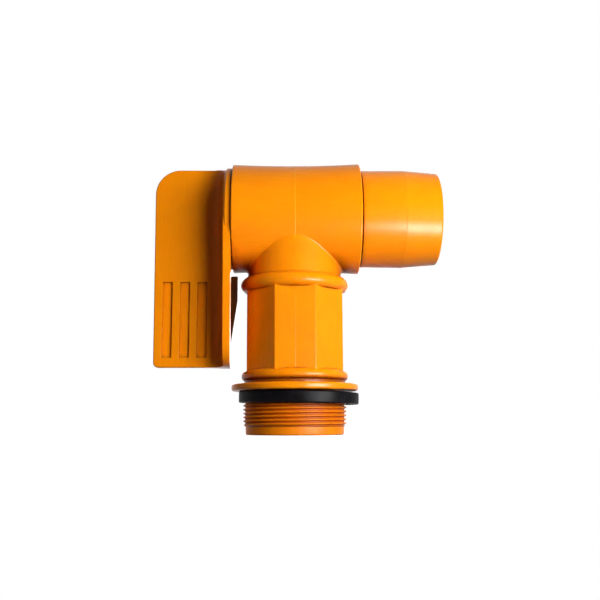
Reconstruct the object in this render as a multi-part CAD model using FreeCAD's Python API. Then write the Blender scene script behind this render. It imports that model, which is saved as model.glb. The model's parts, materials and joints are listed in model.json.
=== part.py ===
import FreeCAD, Part
import math
import os

# Drum tap of the plug-cock kind, in millimetres, shown closed.
# The origin is on the thread axis, in the plane of the gasket's underside, where the drum's face lies.
# +Z runs up the neck, +X along the plug towards the spout and +Y to the side that the handle opens to.
# A clock angle is counted about +X, from straight down towards +Y.

# Driving dimensions

# Thread, flange and gasket
thread_major_radius = 30.0
thread_depth = 1.6
thread_reach = 13.9
pilot_length = 4.5
pilot_chamfer = 0.8
flange_radius = 36.8
flange_thickness = 4.0
flange_round = 1.4
gasket_radius = 34.8
gasket_width = 2.8
gasket_thickness = 6.6
gasket_round = 0.6
gasket_thread_gap = 0.1
thread_relief = 0.9
thread_relief_reach = 0.4

# Neck and its two beads
neck_radius = 27.8
neck_wall = 3.8
neck_sides = 8
neck_flat_inset = 0.2
neck_edge_round = 0.6
groove_radius = 29.4
lower_bead_radius = 31.1
lower_bead_half_height = 3.3
lower_bead_above_flange = 4.6
upper_bead_radius = 31.8
upper_bead_half_height = 4.15
upper_bead_below_axis = 40.95
axis_above_flange = 98.9
dome_fillet = 1.5

# Cross tube
bore_radius = 27.5
tube_left_wall = 5.0
tube_waist_wall = 4.35
tube_right_wall = 5.6
tube_left_overhang = 4.6
tube_right_reach = 38.2
tube_rim_round = 0.7

# Inlet window and its seal
port_radius = 17.0
port_seal_width = 3.5
port_seal_depth = 3.0
port_seal_side_gap = 0.1
window_ledge = 3.5

# Plug and spout
plug_clearance = 0.05
end_play = 0.25
barrel_wall = 4.05
plug_end_wall = 8.0
shoulder_step = 1.6
shoulder_chamfer = 0.9
spout_swell = 0.2
spout_parting_reach = 25.6
spout_length = 46.6
spout_bore_step = 0.6
spout_tip_wall = 3.5
spout_tip_round = 1.2

# Round seals
o_ring_cord = 1.78
o_ring_side_gap = 0.3
o_ring_touch_gap = 0.02
handle_end_groove_inset = 4.0
spout_end_groove_inset = 5.0

# Snap-fitted drive between handle and plug
hub_radius = 10.0
hub_length = 4.0
drive_flats = 13.0
drive_fit_gap = 0.1
hook_height = 1.2
hook_length = 4.2
finger_slot = 3.0
finger_hole_radius = 3.5
finger_root = 1.0

# Handle
plate_thickness = 4.2
rim_bearing_width = 1.8
disc_overhang = 1.1
disc_chamfer_length = 1.15
disc_relief = 0.3
arm_end_half_width = 20.0
arm_corner_radius = 14.0
arm_back_thinning = 2.0
arm_flange_clearance = 9.75
web_reach = 42.6
web_end_reach = 41.6
web_thickness = 5.0
web_above_axis = 30.0
web_top_corner = 15.0
web_bottom_corner = 3.0
web_edge_round = 0.8
foot_radius_at_disc = 17.0
foot_radius_at_end = 12.0
grip_count = 3
grip_width = 5.9
grip_length = 44.8
grip_pitch = 10.2
grip_edge_margin = 8.6
grip_end_margin = 5.75
grip_depth = 1.5
fin_thickness = 2.6
fin_bead_clearance = 1.8
fin_tube_clearance = 2.6
fin_straight = 14.5
fin_taper = 34.0

# Quarter-turn stop
turn_angle = 90.0
stop_clock_angle = 135.0
stop_width_angle = 12.0
stop_end_angle = 1.0
stop_height = 2.2
stop_length = 3.0
stop_gap = 0.15

# Places that follow from the driving dimensions

flange_z = gasket_thickness
flange_top_z = flange_z + flange_thickness
axis_z = flange_top_z + axis_above_flange
lower_bead_z = flange_top_z + lower_bead_above_flange
upper_bead_z = axis_z - upper_bead_below_axis
pilot_radius = thread_major_radius - thread_depth
relief_radius = thread_major_radius - thread_relief
relief_end_z = -thread_relief_reach
thread_end_z = -thread_reach
pilot_end_z = thread_end_z - pilot_length
passage_radius = neck_radius - neck_wall
seal_floor_z = axis_z - bore_radius - port_seal_depth
passage_roof_z = seal_floor_z - window_ledge

tube_left_x = -(upper_bead_radius + tube_left_overhang)
tube_right_x = tube_right_reach
tube_left_radius = bore_radius + tube_left_wall
tube_waist_radius = bore_radius + tube_waist_wall
tube_right_radius = bore_radius + tube_right_wall

plug_left_x = tube_left_x - end_play
plug_wall_x = plug_left_x + plug_end_wall
shoulder_x = tube_right_x + end_play
spout_end_x = shoulder_x + spout_length
barrel_radius = bore_radius - plug_clearance
barrel_bore_radius = barrel_radius - barrel_wall
spout_bore_radius = barrel_bore_radius + spout_bore_step
shoulder_radius = bore_radius + shoulder_step
hub_bore_radius = hub_radius + drive_fit_gap

plate_left_x = plug_left_x - plate_thickness
land_radius = bore_radius + rim_bearing_width
disc_radius = land_radius + disc_overhang
arm_end_z = flange_top_z + arm_flange_clearance
web_left_x = plate_left_x - web_reach
web_top_z = axis_z + web_above_axis

# How near two places must be to count as the same one
match_gap = 0.01

ORIGIN = FreeCAD.Vector(0, 0, 0)
X_AXIS = FreeCAD.Vector(1, 0, 0)
Y_AXIS = FreeCAD.Vector(0, 1, 0)
Z_AXIS = FreeCAD.Vector(0, 0, 1)
PLUG_AXIS_POINT = FreeCAD.Vector(0, 0, axis_z)


def polygon_wire(points):
    """Closed wire through the given points."""
    return Part.makePolygon(points + [points[0]])


def turned_about_plug_axis(profile):
    """Solid of revolution about the plug axis; profile holds (x, radius) corners."""
    points = [FreeCAD.Vector(x, 0, axis_z + radius) for x, radius in profile]
    return Part.Face(polygon_wire(points)).revolve(PLUG_AXIS_POINT, X_AXIS, 360)


def turned_about_neck_axis(profile):
    """Solid of revolution about the thread axis; profile holds (radius, z) corners."""
    points = [FreeCAD.Vector(radius, 0, z) for radius, z in profile]
    return Part.Face(polygon_wire(points)).revolve(ORIGIN, Z_AXIS, 360)


def along_plug(x_start, x_end, radius):
    """Round bar on the plug axis between two X places."""
    start = FreeCAD.Vector(x_start, 0, axis_z)
    return Part.makeCylinder(radius, x_end - x_start, start, X_AXIS)


def up_neck(z_start, z_end, radius):
    """Round bar on the thread axis between two heights."""
    start = FreeCAD.Vector(0, 0, z_start)
    return Part.makeCylinder(radius, z_end - z_start, start, Z_AXIS)


def square_along_plug(x_start, x_end, flats):
    """Square bar on the plug axis between two X places."""
    corner = FreeCAD.Vector(x_start, -flats / 2, axis_z - flats / 2)
    return Part.makeBox(x_end - x_start, flats, flats, corner)


def plug_sector(x_start, x_end, radius_in, radius_out, clock_start, clock_span):
    """Part of a ring about the plug axis, between two radii and over a span of clock angle."""
    points = [
        FreeCAD.Vector(x_start, 0, axis_z - radius_in),
        FreeCAD.Vector(x_end, 0, axis_z - radius_in),
        FreeCAD.Vector(x_end, 0, axis_z - radius_out),
        FreeCAD.Vector(x_start, 0, axis_z - radius_out),
    ]
    sector = Part.Face(polygon_wire(points)).revolve(PLUG_AXIS_POINT, X_AXIS, clock_span)
    sector.rotate(PLUG_AXIS_POINT, X_AXIS, clock_start)
    return sector


def circle_edges(shape, radius, coordinate, value):
    """Full-circle edges of one radius that lie in the plane where a coordinate has a value."""
    found = []
    for edge in shape.Edges:
        if not isinstance(edge.Curve, Part.Circle):
            continue
        centre = edge.Curve.Center
        in_plane = abs(getattr(centre, coordinate) - value) < match_gap
        if in_plane and abs(edge.Curve.Radius - radius) < match_gap:
            found.append(edge)
    return found


def bead(radius, half_height, z):
    """Half-round ring that swells out of the neck."""
    low = FreeCAD.Vector(neck_radius, 0, z - half_height)
    out = FreeCAD.Vector(radius, 0, z)
    high = FreeCAD.Vector(neck_radius, 0, z + half_height)
    axis_high = FreeCAD.Vector(0, 0, z + half_height)
    axis_low = FreeCAD.Vector(0, 0, z - half_height)
    edges = [
        Part.Arc(low, out, high).toShape(),
        Part.makeLine(high, axis_high),
        Part.makeLine(axis_high, axis_low),
        Part.makeLine(axis_low, low),
    ]
    return Part.Face(Part.Wire(edges)).revolve(ORIGIN, Z_AXIS, 360)


def octagonal_neck():
    """Prism between the two beads, with flats square to X and Y."""
    corner_radius = (neck_radius - neck_flat_inset) / math.cos(math.pi / neck_sides)
    points = []
    for side in range(neck_sides):
        angle = (side + 0.5) * 2 * math.pi / neck_sides
        x = corner_radius * math.cos(angle)
        y = corner_radius * math.sin(angle)
        points.append(FreeCAD.Vector(x, y, lower_bead_z))
    height = upper_bead_z - lower_bead_z
    prism = Part.Face(polygon_wire(points)).extrude(FreeCAD.Vector(0, 0, height))
    uprights = [edge for edge in prism.Edges if edge.BoundBox.ZLength > height / 2]
    return prism.makeFillet(neck_edge_round, uprights)


def cross_tube():
    """Outside of the tube: one shallow arc drawn in at the waist, with rounded rims."""
    left = FreeCAD.Vector(tube_left_x, 0, axis_z + tube_left_radius)
    waist = FreeCAD.Vector(0, 0, axis_z + tube_waist_radius)
    right = FreeCAD.Vector(tube_right_x, 0, axis_z + tube_right_radius)
    right_centre = FreeCAD.Vector(tube_right_x, 0, axis_z)
    left_centre = FreeCAD.Vector(tube_left_x, 0, axis_z)
    profile = Part.Wire([
        Part.Arc(left, waist, right).toShape(),
        Part.makeLine(right, right_centre),
        Part.makeLine(right_centre, left_centre),
        Part.makeLine(left_centre, left),
    ])
    tube = Part.Face(profile).revolve(PLUG_AXIS_POINT, X_AXIS, 360)
    rims = circle_edges(tube, tube_left_radius, "x", tube_left_x)
    rims += circle_edges(tube, tube_right_radius, "x", tube_right_x)
    return tube.makeFillet(tube_rim_round, rims)


def dome_root_edges(shape):
    """Edges where the round top of the neck runs into the tube."""
    found = []
    for edge in shape.Edges:
        box = edge.BoundBox
        on_neck = True
        for vertex in edge.discretize(5):
            distance = math.hypot(vertex.x, vertex.y)
            on_neck = on_neck and abs(distance - neck_radius) < match_gap
        below_axis = box.ZMax < axis_z and box.ZMin > upper_bead_z + upper_bead_half_height
        if on_neck and below_axis:
            found.append(edge)
    return found


def stop_notch():
    """Recess in the left rim in which the handle's stop lug travels."""
    spare = stop_width_angle / 2 + stop_end_angle
    start = stop_clock_angle - spare
    span = turn_angle + 2 * spare
    radius_out = bore_radius + stop_height + 2 * stop_gap
    x_end = plug_left_x + stop_length + end_play
    inside = bore_radius / 2
    return plug_sector(tube_left_x - end_play, x_end, inside, radius_out, start, span)


def tap_body():
    """Fixed moulding: tube, dome, octagonal neck, beads, flange, thread blank and pilot."""
    outside = cross_tube()
    outside = outside.fuse(up_neck(upper_bead_z, axis_z, neck_radius))
    outside = outside.makeFillet(dome_fillet, dome_root_edges(outside))
    outside = outside.fuse(octagonal_neck())
    outside = outside.fuse(bead(upper_bead_radius, upper_bead_half_height, upper_bead_z))
    outside = outside.fuse(bead(lower_bead_radius, lower_bead_half_height, lower_bead_z))
    outside = outside.fuse(up_neck(flange_z, lower_bead_z, groove_radius))

    flange = up_neck(flange_z, flange_top_z, flange_radius)
    rims = circle_edges(flange, flange_radius, "z", flange_z)
    rims += circle_edges(flange, flange_radius, "z", flange_top_z)
    outside = outside.fuse(flange.makeFillet(flange_round, rims))

    outside = outside.fuse(turned_about_neck_axis([
        (0, flange_z),
        (relief_radius, flange_z),
        (relief_radius, relief_end_z),
        (thread_major_radius, relief_end_z),
        (thread_major_radius, thread_end_z + thread_depth),
        (pilot_radius, thread_end_z),
        (pilot_radius, pilot_end_z + pilot_chamfer),
        (pilot_radius - pilot_chamfer, pilot_end_z),
        (0, pilot_end_z),
    ]))

    seat_radius = port_radius + port_seal_width
    body = outside.cut(up_neck(pilot_end_z, passage_roof_z, passage_radius))
    body = body.cut(along_plug(tube_left_x, tube_right_x, bore_radius))
    body = body.cut(up_neck(passage_roof_z, axis_z, port_radius))
    body = body.cut(up_neck(seal_floor_z, axis_z, seat_radius))
    body = body.cut(stop_notch())
    return body.removeSplitter()


def flange_gasket():
    """Rubber ring that lies loose on the thread, pushed towards the spout's side."""
    bore = gasket_radius - gasket_width
    shift = bore - thread_major_radius - gasket_thread_gap
    centre = FreeCAD.Vector(shift, 0, 0)
    ring = Part.makeCylinder(gasket_radius, gasket_thickness, centre, Z_AXIS)
    rims = circle_edges(ring, gasket_radius, "z", 0)
    rims += circle_edges(ring, gasket_radius, "z", gasket_thickness)
    ring = ring.makeFillet(gasket_round, rims)
    return ring.cut(Part.makeCylinder(bore, gasket_thickness, centre, Z_AXIS))


def port_seal():
    """Rubber ring round the inlet window, with a flat foot and a top that follows the bore."""
    outer = port_radius + port_seal_width - port_seal_side_gap
    ring = up_neck(seal_floor_z, axis_z, outer)
    ring = ring.cut(up_neck(seal_floor_z, axis_z, port_radius))
    return ring.cut(along_plug(tube_left_x, tube_right_x, bore_radius))


def groove_about_plug(x_centre, radius_out):
    """Ring cut for a round seal whose outside touches the given radius."""
    floor = radius_out - o_ring_touch_gap - o_ring_cord
    half = o_ring_cord / 2 + o_ring_side_gap
    ring = along_plug(x_centre - half, x_centre + half, radius_out + o_ring_cord)
    return ring.cut(along_plug(x_centre - half, x_centre + half, floor))


def o_ring(x_centre, radius_out):
    """Round seal on the plug axis whose outside touches the given radius."""
    cord_radius = o_ring_cord / 2
    ring_radius = radius_out - o_ring_touch_gap - cord_radius
    centre = FreeCAD.Vector(x_centre, 0, axis_z)
    return Part.makeTorus(ring_radius, cord_radius, centre, X_AXIS)


handle_end_groove_x = plug_left_x + handle_end_groove_inset
spout_end_groove_x = tube_right_x - spout_end_groove_inset
hub_groove_x = plug_left_x + hub_length / 2


def plug_barrel():
    """Rotating moulding: closed end, barrel with a side port, and the spout."""
    parting_x = shoulder_x + spout_parting_reach
    widest_radius = shoulder_radius + spout_swell
    tip_radius = spout_bore_radius + spout_tip_wall
    plug = turned_about_plug_axis([
        (plug_left_x, 0),
        (plug_left_x, barrel_radius),
        (shoulder_x, barrel_radius),
        (shoulder_x, shoulder_radius - shoulder_chamfer),
        (shoulder_x + shoulder_chamfer, shoulder_radius),
        (parting_x, widest_radius),
        (spout_end_x, tip_radius),
        (spout_end_x, 0),
    ])
    plug = plug.makeFillet(spout_tip_round, circle_edges(plug, tip_radius, "x", spout_end_x))
    plug = plug.cut(along_plug(plug_wall_x, spout_end_x, barrel_bore_radius))
    plug = plug.cut(along_plug(shoulder_x, spout_end_x, spout_bore_radius))

    port = Part.makeCylinder(port_radius, bore_radius, PLUG_AXIS_POINT, -Y_AXIS)
    plug = plug.cut(port)
    plug = plug.cut(groove_about_plug(handle_end_groove_x, bore_radius))
    plug = plug.cut(groove_about_plug(spout_end_groove_x, bore_radius))
    plug = plug.cut(along_plug(plug_left_x, plug_left_x + hub_length, hub_bore_radius))
    return plug.cut(square_along_plug(plug_left_x, plug_wall_x, drive_flats))


def snap_drive():
    """Hub, square drive and four hooked fingers that hold the handle in the plug's end wall."""
    boss_flats = drive_flats - 2 * drive_fit_gap
    hook_x = plug_wall_x + drive_fit_gap
    tip_x = hook_x + hook_length
    hub_end_x = plug_left_x + hub_length
    hub = along_plug(plug_left_x, hub_end_x, hub_radius)
    hub = hub.cut(groove_about_plug(hub_groove_x, hub_bore_radius))
    boss = square_along_plug(hub_end_x, tip_x, boss_flats)

    sections = []
    for x, flats in ((hook_x, boss_flats + 2 * hook_height), (tip_x, boss_flats)):
        half = flats / 2
        corners = [(-half, -half), (half, -half), (half, half), (-half, half)]
        sections.append(polygon_wire([FreeCAD.Vector(x, y, axis_z + z) for y, z in corners]))
    hooks = Part.makeLoft(sections, True, True)

    slot_x = hub_end_x + finger_root
    slot_span = boss_flats + 2 * hook_height
    drive = boss.fuse(hooks).fuse(hub)
    for size_y, size_z in ((finger_slot, slot_span), (slot_span, finger_slot)):
        corner = FreeCAD.Vector(slot_x, -size_y / 2, axis_z - size_z / 2)
        drive = drive.cut(Part.makeBox(tip_x - slot_x, size_y, size_z, corner))
    return drive.cut(along_plug(slot_x, tip_x, finger_hole_radius))


def plate_outline():
    """Wire of the plate in the plane of its outer face: a disc run out into a tapered arm."""
    arm_length = axis_z - arm_end_z
    corner_distance = math.hypot(arm_end_half_width, arm_length)
    corner_angle = math.atan2(arm_end_half_width, arm_length)
    tangent_angle = corner_angle + math.acos(land_radius / corner_distance)

    def at(clock, radius):
        return FreeCAD.Vector(plate_left_x, radius * math.sin(clock), axis_z - radius * math.cos(clock))

    side_start = at(tangent_angle, land_radius)
    other_start = at(-tangent_angle, land_radius)
    side_end = FreeCAD.Vector(plate_left_x, arm_end_half_width, arm_end_z)
    other_end = FreeCAD.Vector(plate_left_x, -arm_end_half_width, arm_end_z)
    return Part.Wire([
        Part.Arc(side_start, at(math.pi, land_radius), other_start).toShape(),
        Part.makeLine(other_start, other_end),
        Part.makeLine(other_end, side_end),
        Part.makeLine(side_end, side_start),
    ])


def outline_prism(depth):
    """The plate's outline run out along X from its outer face, with the arm's end corners rounded."""
    prism = Part.Face(plate_outline()).extrude(FreeCAD.Vector(depth, 0, 0))
    corners = []
    for edge in prism.Edges:
        box = edge.BoundBox
        along_x = box.XLength > abs(depth) / 2 and box.ZLength < match_gap
        if along_x and abs(box.ZMin - arm_end_z) < match_gap:
            corners.append(edge)
    return prism.makeFillet(arm_corner_radius, corners)


def arm_back_wedge():
    """Wedge that thins the arm's inner face towards the back, from full thickness at its near edge."""
    near_y = -arm_end_half_width
    far_y = disc_radius
    slope = arm_back_thinning / (2 * arm_end_half_width)
    face = Part.Face(polygon_wire([
        FreeCAD.Vector(plug_left_x, near_y, arm_end_z),
        FreeCAD.Vector(plug_left_x, far_y, arm_end_z),
        FreeCAD.Vector(plug_left_x - slope * (far_y - near_y), far_y, arm_end_z),
    ]))
    return face.extrude(FreeCAD.Vector(0, 0, axis_z - arm_end_z))


def plate():
    """Flat disc with a chamfered collar, run out into the arm behind the web."""
    chamfer_x = plate_left_x + disc_chamfer_length
    disc = turned_about_plug_axis([
        (plate_left_x, 0),
        (plate_left_x, land_radius),
        (chamfer_x, disc_radius),
        (plug_left_x - disc_relief, disc_radius),
        (plug_left_x - disc_relief, land_radius),
        (plug_left_x, land_radius),
        (plug_left_x, 0),
    ])
    return outline_prism(plate_thickness).cut(arm_back_wedge()).fuse(disc)


def web():
    """Upright grip that stands out from the plate, drawn in towards its end, with rounded corners."""
    half = web_thickness / 2
    top_left = FreeCAD.Vector(web_left_x, -half, web_top_z)
    bottom_left = FreeCAD.Vector(plate_left_x - web_end_reach, -half, arm_end_z)
    face = Part.Face(polygon_wire([
        FreeCAD.Vector(plate_left_x, -half, web_top_z),
        top_left,
        bottom_left,
        FreeCAD.Vector(plate_left_x, -half, arm_end_z),
    ]))
    blade = face.extrude(FreeCAD.Vector(0, web_thickness, 0))
    for corner, radius in ((top_left, web_top_corner), (bottom_left, web_bottom_corner)):
        edges = []
        for edge in blade.Edges:
            middle = edge.CenterOfMass
            upright = abs(edge.BoundBox.YLength - web_thickness) < match_gap
            if upright and math.hypot(middle.x - corner.x, middle.z - corner.z) < match_gap:
                edges.append(edge)
        blade = blade.makeFillet(radius, edges)
    rim = []
    for edge in blade.Edges:
        box = edge.BoundBox
        on_face = box.YLength < match_gap and abs(abs(box.YMin) - half) < match_gap
        if on_face and box.XMin < plate_left_x - match_gap:
            rim.append(edge)
    return blade.makeFillet(web_edge_round, rim)


def foot_section(z, radius):
    """Bell-shaped section of the web's foot: a concave quarter circle on each side."""
    half = web_thickness / 2
    neck_x = plate_left_x - radius
    bulge = radius * math.cos(math.pi / 4)
    near = [FreeCAD.Vector(plate_left_x, half + radius, z), FreeCAD.Vector(neck_x, half, z)]
    far = [FreeCAD.Vector(neck_x, -half, z), FreeCAD.Vector(plate_left_x, -half - radius, z)]
    near_mid = FreeCAD.Vector(neck_x + bulge, half + radius - bulge, z)
    far_mid = FreeCAD.Vector(neck_x + bulge, -half - radius + bulge, z)
    return Part.Wire([
        Part.Arc(near[0], near_mid, near[1]).toShape(),
        Part.makeLine(near[1], far[0]),
        Part.Arc(far[0], far_mid, far[1]).toShape(),
        Part.makeLine(far[1], near[0]),
    ])


def web_foot():
    """Concave flare between web and plate, wide at the disc and narrower at the arm's end."""
    disc_top = axis_z + land_radius
    upper = Part.makeLoft([
        foot_section(axis_z, foot_radius_at_disc),
        foot_section(disc_top, foot_radius_at_disc),
    ], True, True)
    lower = Part.makeLoft([
        foot_section(arm_end_z, foot_radius_at_end),
        foot_section(axis_z, foot_radius_at_disc),
    ], True, True)
    return upper.fuse(lower).common(outline_prism(-foot_radius_at_disc))


def grip_recesses():
    """Row of upright rectangular recesses, cut into both faces of the web."""
    floor = web_thickness / 2 - grip_depth
    depth = foot_radius_at_disc + web_thickness
    low_z = arm_end_z + grip_end_margin
    cuts = []
    for index in range(grip_count):
        x = web_left_x + grip_edge_margin + index * grip_pitch - grip_width / 2
        for y in (floor, -floor - depth):
            corner = FreeCAD.Vector(x, y, low_z)
            cuts.append(Part.makeBox(grip_width, depth, grip_length, corner))
    return cuts


def fin():
    """Thin rib on the plate's inner face, under the tube's end."""
    reach_x = -(upper_bead_radius + fin_bead_clearance)
    top_z = axis_z - tube_left_radius - fin_tube_clearance
    knee_z = top_z - fin_straight
    root_x = plug_left_x - arm_back_thinning
    half = fin_thickness / 2
    points = [
        FreeCAD.Vector(root_x, -half, top_z),
        FreeCAD.Vector(reach_x, -half, top_z),
        FreeCAD.Vector(reach_x, -half, knee_z),
        FreeCAD.Vector(root_x, -half, knee_z - fin_taper),
    ]
    return Part.Face(polygon_wire(points)).extrude(FreeCAD.Vector(0, fin_thickness, 0))


def stop_lug():
    """Lug on the disc that meets the ends of the rim's notch after a quarter turn."""
    start = stop_clock_angle - stop_width_angle / 2
    radius_in = bore_radius + stop_gap
    radius_out = bore_radius + stop_height
    x_end = plug_left_x + stop_length
    return plug_sector(plug_left_x - disc_relief, x_end, radius_in, radius_out, start, stop_width_angle)


def handle():
    """T-shaped lever with its snap drive, fin and stop lug, in one moulding."""
    lever = plate().fuse(web()).fuse(web_foot())
    for recess in grip_recesses():
        lever = lever.cut(recess)
    lever = lever.fuse(fin()).fuse(snap_drive()).fuse(stop_lug())
    return lever.removeSplitter()


def hub_o_ring():
    """Seal between the handle's hub and the plug's end wall."""
    return o_ring(hub_groove_x, hub_bore_radius)


def handle_end_o_ring():
    """Seal between plug and bore at the handle's end."""
    return o_ring(handle_end_groove_x, bore_radius)


def spout_end_o_ring():
    """Seal between plug and bore at the spout's end."""
    return o_ring(spout_end_groove_x, bore_radius)


def main():
    """Build every piece and write each one to its own file."""
    os.makedirs("parts", exist_ok=True)
    pieces = (
        tap_body,
        plug_barrel,
        handle,
        flange_gasket,
        port_seal,
        spout_end_o_ring,
        handle_end_o_ring,
        hub_o_ring,
    )
    for piece in pieces:
        shape = piece()
        shape.exportStep(os.path.join("parts", piece.__name__ + ".step"))
        print(piece.__name__, "solids", len(shape.Solids), "valid", shape.isValid(),
              "volume", round(shape.Volume))


main()
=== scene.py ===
"""Looks for the drum tap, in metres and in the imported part's own frame.

The tap is injection moulded in orange polypropylene, with a black rubber gasket under its flange.
+Z runs up the neck, +X towards the spout and -Y towards the viewer. Sizes in the classes are in
millimetres and are turned into metres where a mesh is made.
"""

import json
import logging
import math
from dataclasses import dataclass
from enum import Enum

import bmesh
import bpy
from mathutils import Matrix, Vector
from mathutils.bvhtree import BVHTree


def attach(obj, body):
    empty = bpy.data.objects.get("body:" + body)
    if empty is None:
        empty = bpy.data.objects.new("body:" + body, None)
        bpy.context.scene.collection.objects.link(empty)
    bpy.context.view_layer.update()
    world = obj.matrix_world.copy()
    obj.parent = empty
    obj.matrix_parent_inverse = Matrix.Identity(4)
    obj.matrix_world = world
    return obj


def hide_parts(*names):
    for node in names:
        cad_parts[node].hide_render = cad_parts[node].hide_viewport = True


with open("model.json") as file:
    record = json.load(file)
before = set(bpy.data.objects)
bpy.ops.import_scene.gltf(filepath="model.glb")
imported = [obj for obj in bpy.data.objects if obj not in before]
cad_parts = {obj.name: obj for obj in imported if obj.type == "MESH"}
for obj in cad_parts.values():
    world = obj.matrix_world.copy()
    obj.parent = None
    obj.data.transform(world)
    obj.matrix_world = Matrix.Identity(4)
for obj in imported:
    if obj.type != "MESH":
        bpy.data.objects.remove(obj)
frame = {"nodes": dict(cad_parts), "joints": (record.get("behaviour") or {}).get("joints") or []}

LOG = logging.getLogger("drum_tap")
MM = 0.001
# Vertices closer together than this become one.
MERGE_MM = 0.0005
# Height inside the gasket at which the fixed moulding passes from one piece to the next.
CUT_HEIGHT_MM = 3.2
WHITE = (1.0, 1.0, 1.0, 1.0)
# Values between which most of a noise pattern lies.
PATTERN_SPAN = (0.3, 0.7)
Profile = list[tuple[float, float]]


class TapBody(Enum):
    """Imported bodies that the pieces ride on."""

    FIXED = "body"
    TURNING = "plug"


class Slot(Enum):
    """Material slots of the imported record."""

    POLYPROPYLENE = "orange_polypropylene"
    RUBBER = "black_rubber"


class DrawWay(Enum):
    """Way along which a moulding slid out of its mould, which its faint drag lines follow."""

    ALONG_PLUG = (0.06, 1.0, 1.0)
    UP_NECK = (1.0, 1.0, 0.06)


# Node trees

def linear(hex_colour: str) -> tuple[float, float, float, float]:
    """Turn an sRGB hex value into the linear colour that a shader takes.

    Args:
        hex_colour: Colour such as "#F28A14".

    Returns:
        Linear red, green and blue, and an alpha of one.
    """
    channels = [int(hex_colour[i:i + 2], 16) / 255 for i in (1, 3, 5)]
    toned = [c / 12.92 if c <= 0.04045 else ((c + 0.055) / 1.055) ** 2.4 for c in channels]
    return (toned[0], toned[1], toned[2], 1.0)


def per_mm(length: float) -> float:
    """Scale of a pattern whose features are a given length, in millimetres, across."""
    return 1 / (length * MM)


def add_node(
    tree: bpy.types.NodeTree,
    kind: str,
    settings: dict | None = None,
    links: dict | None = None,
) -> bpy.types.Node:
    """Add a node, set its own properties, and fill or link its inputs.

    Args:
        tree: Node tree that takes the node.
        kind: Blender's name for the node's type.
        settings: Properties of the node by name.
        links: Inputs by name or number; a socket is linked and anything else is set as the value.

    Returns:
        The new node.
    """
    node = tree.nodes.new(kind)
    for key, value in (settings or {}).items():
        setattr(node, key, value)
    for key, value in (links or {}).items():
        if isinstance(value, bpy.types.NodeSocket):
            tree.links.new(value, node.inputs[key])
        else:
            node.inputs[key].default_value = value
    return node


def mix_colours(
    tree: bpy.types.NodeTree,
    share: bpy.types.NodeSocket | float,
    first: bpy.types.NodeSocket | tuple,
    second: bpy.types.NodeSocket | tuple,
    blend: str = "MIX",
) -> bpy.types.NodeSocket:
    """Mix two colours.

    Args:
        tree: Node tree that takes the node.
        share: Share of the second colour.
        first: Colour at a share of none.
        second: Colour at a full share.
        blend: Blender's name for the way of mixing.

    Returns:
        Socket with the mixed colour.
    """
    node = add_node(
        tree,
        "ShaderNodeMix",
        {"data_type": "RGBA", "blend_type": blend},
        {0: share, 6: first, 7: second},
    )
    return node.outputs[2]


def ramp(
    tree: bpy.types.NodeTree,
    value: bpy.types.NodeSocket,
    source: tuple[float, float],
    target: tuple[float, float] = (0.0, 1.0),
) -> bpy.types.NodeSocket:
    """Carry a value from one range over to another, and hold it at both ends.

    Args:
        tree: Node tree that takes the node.
        value: Value to carry over.
        source: Values at which the ramp starts and ends.
        target: What these two become.

    Returns:
        Socket with the new value.
    """
    return add_node(tree, "ShaderNodeMapRange", {}, {
        "Value": value, "From Min": source[0], "From Max": source[1],
        "To Min": target[0], "To Max": target[1],
    }).outputs[0]


def calculate(
    tree: bpy.types.NodeTree,
    operation: str,
    *values: bpy.types.NodeSocket | float,
) -> bpy.types.NodeSocket:
    """Reckon with numbers in a node tree.

    Args:
        tree: Node tree that takes the node.
        operation: Blender's name for the operation.
        values: Numbers or sockets, in the operation's own order.

    Returns:
        Socket with the result.
    """
    inputs = dict(enumerate(values))
    return add_node(tree, "ShaderNodeMath", {"operation": operation}, inputs).outputs[0]


def noise(
    tree: bpy.types.NodeTree,
    place: bpy.types.NodeSocket,
    length: float,
    detail: float,
    roughness: float,
    distortion: float = 0.0,
) -> bpy.types.NodeSocket:
    """Add a cloudy pattern.

    Args:
        tree: Node tree that takes the node.
        place: Place on the object.
        length: Width of a cloud, in millimetres.
        detail: Number of finer layers.
        roughness: Weight of the finer layers.
        distortion: How far the clouds are drawn out of shape.

    Returns:
        Socket with the pattern, from none to one.
    """
    return add_node(tree, "ShaderNodeTexNoise", {}, {
        "Vector": place, "Scale": per_mm(length), "Detail": detail,
        "Roughness": roughness, "Distortion": distortion,
    }).outputs["Fac"]


def rounded_normal(tree: bpy.types.NodeTree, radius: float) -> bpy.types.NodeSocket:
    """Round the shading over sharp edges.

    Args:
        tree: Node tree that takes the node.
        radius: Radius of the rounding, in millimetres.

    Returns:
        Socket with the rounded normal.
    """
    return add_node(tree, "ShaderNodeBevel", {"samples": 4}, {"Radius": radius * MM}).outputs[0]


def bump(
    tree: bpy.types.NodeTree,
    height: bpy.types.NodeSocket,
    strength: float,
    depth: float,
    normal: bpy.types.NodeSocket,
) -> bpy.types.NodeSocket:
    """Shade a relief too fine for the mesh.

    Args:
        tree: Node tree that takes the node.
        height: Pattern that raises the surface.
        strength: Share of the relief that shows.
        depth: Height of the relief, in millimetres.
        normal: Normal that the relief starts from.

    Returns:
        Socket with the new normal.
    """
    return add_node(tree, "ShaderNodeBump", {}, {
        "Height": height, "Strength": strength, "Distance": depth * MM, "Normal": normal,
    }).outputs[0]


def new_material(name: str) -> tuple[bpy.types.Material, bpy.types.NodeTree]:
    """Make an empty material.

    Args:
        name: The material's name.

    Returns:
        The material and its cleared node tree.
    """
    material = bpy.data.materials.new(name)
    material.use_nodes = True
    material.node_tree.nodes.clear()
    return material, material.node_tree


# Finishes

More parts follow.
